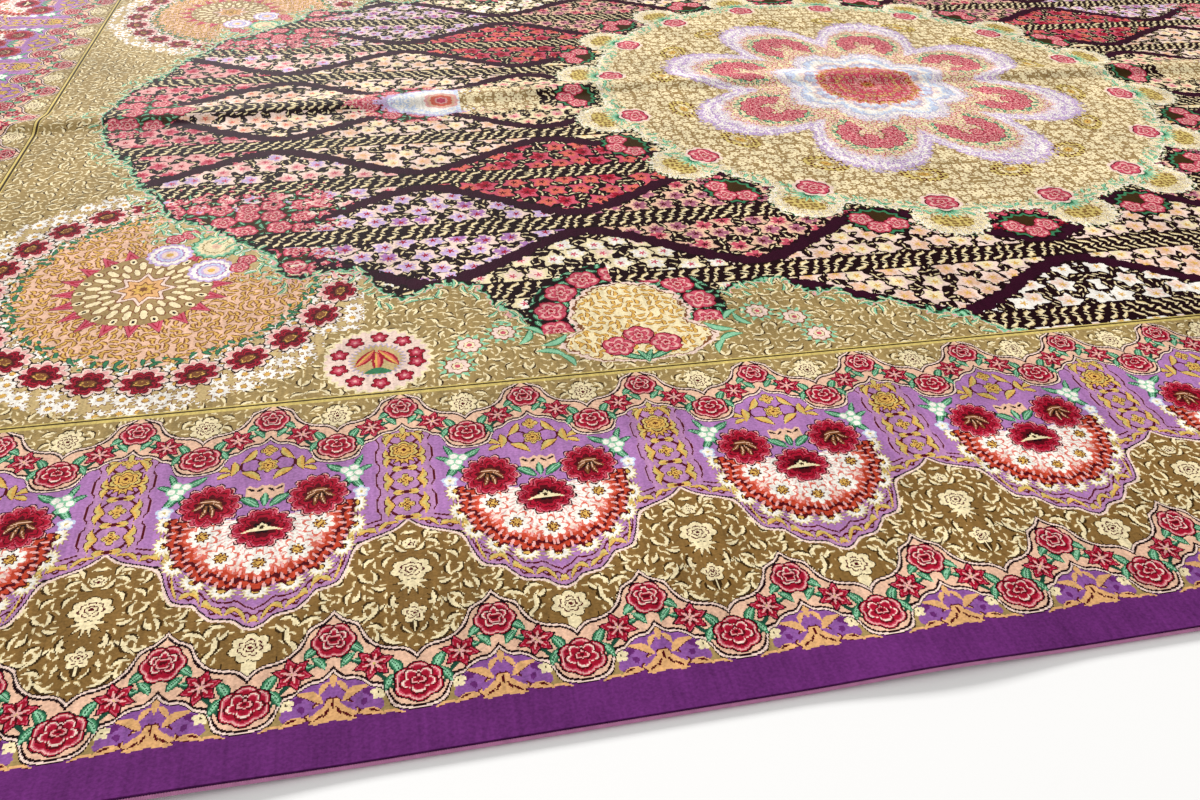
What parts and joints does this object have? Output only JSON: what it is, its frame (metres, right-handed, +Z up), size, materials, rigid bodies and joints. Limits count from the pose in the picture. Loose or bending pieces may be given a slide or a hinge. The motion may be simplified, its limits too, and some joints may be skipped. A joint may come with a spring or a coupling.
{
  "type": "persian rug",
  "caption": "Hand-knotted silk rug with a flowered border, leaf-shaped field panels and a lobed centre medallion, lying flat with one soft crease.",
  "frame": {"origin": "middle of the rug's underside, on the floor it lies on", "axes": "+X along the rug's length, +Y across it away from the front long edge, +Z up out of the pile"},
  "size_m": [3, 2, 0.01],
  "materials": {
    "silk_pile": "short dense knotted silk pile with a soft sheen, patterned",
    "edge_silk": "overcast silk cord, wound at a slant"
  },
  "bodies": {
    "root": {"rug_body": "silk_pile", "selvedge_front": "edge_silk", "selvedge_back": "edge_silk"}
  },
  "joints": []
}
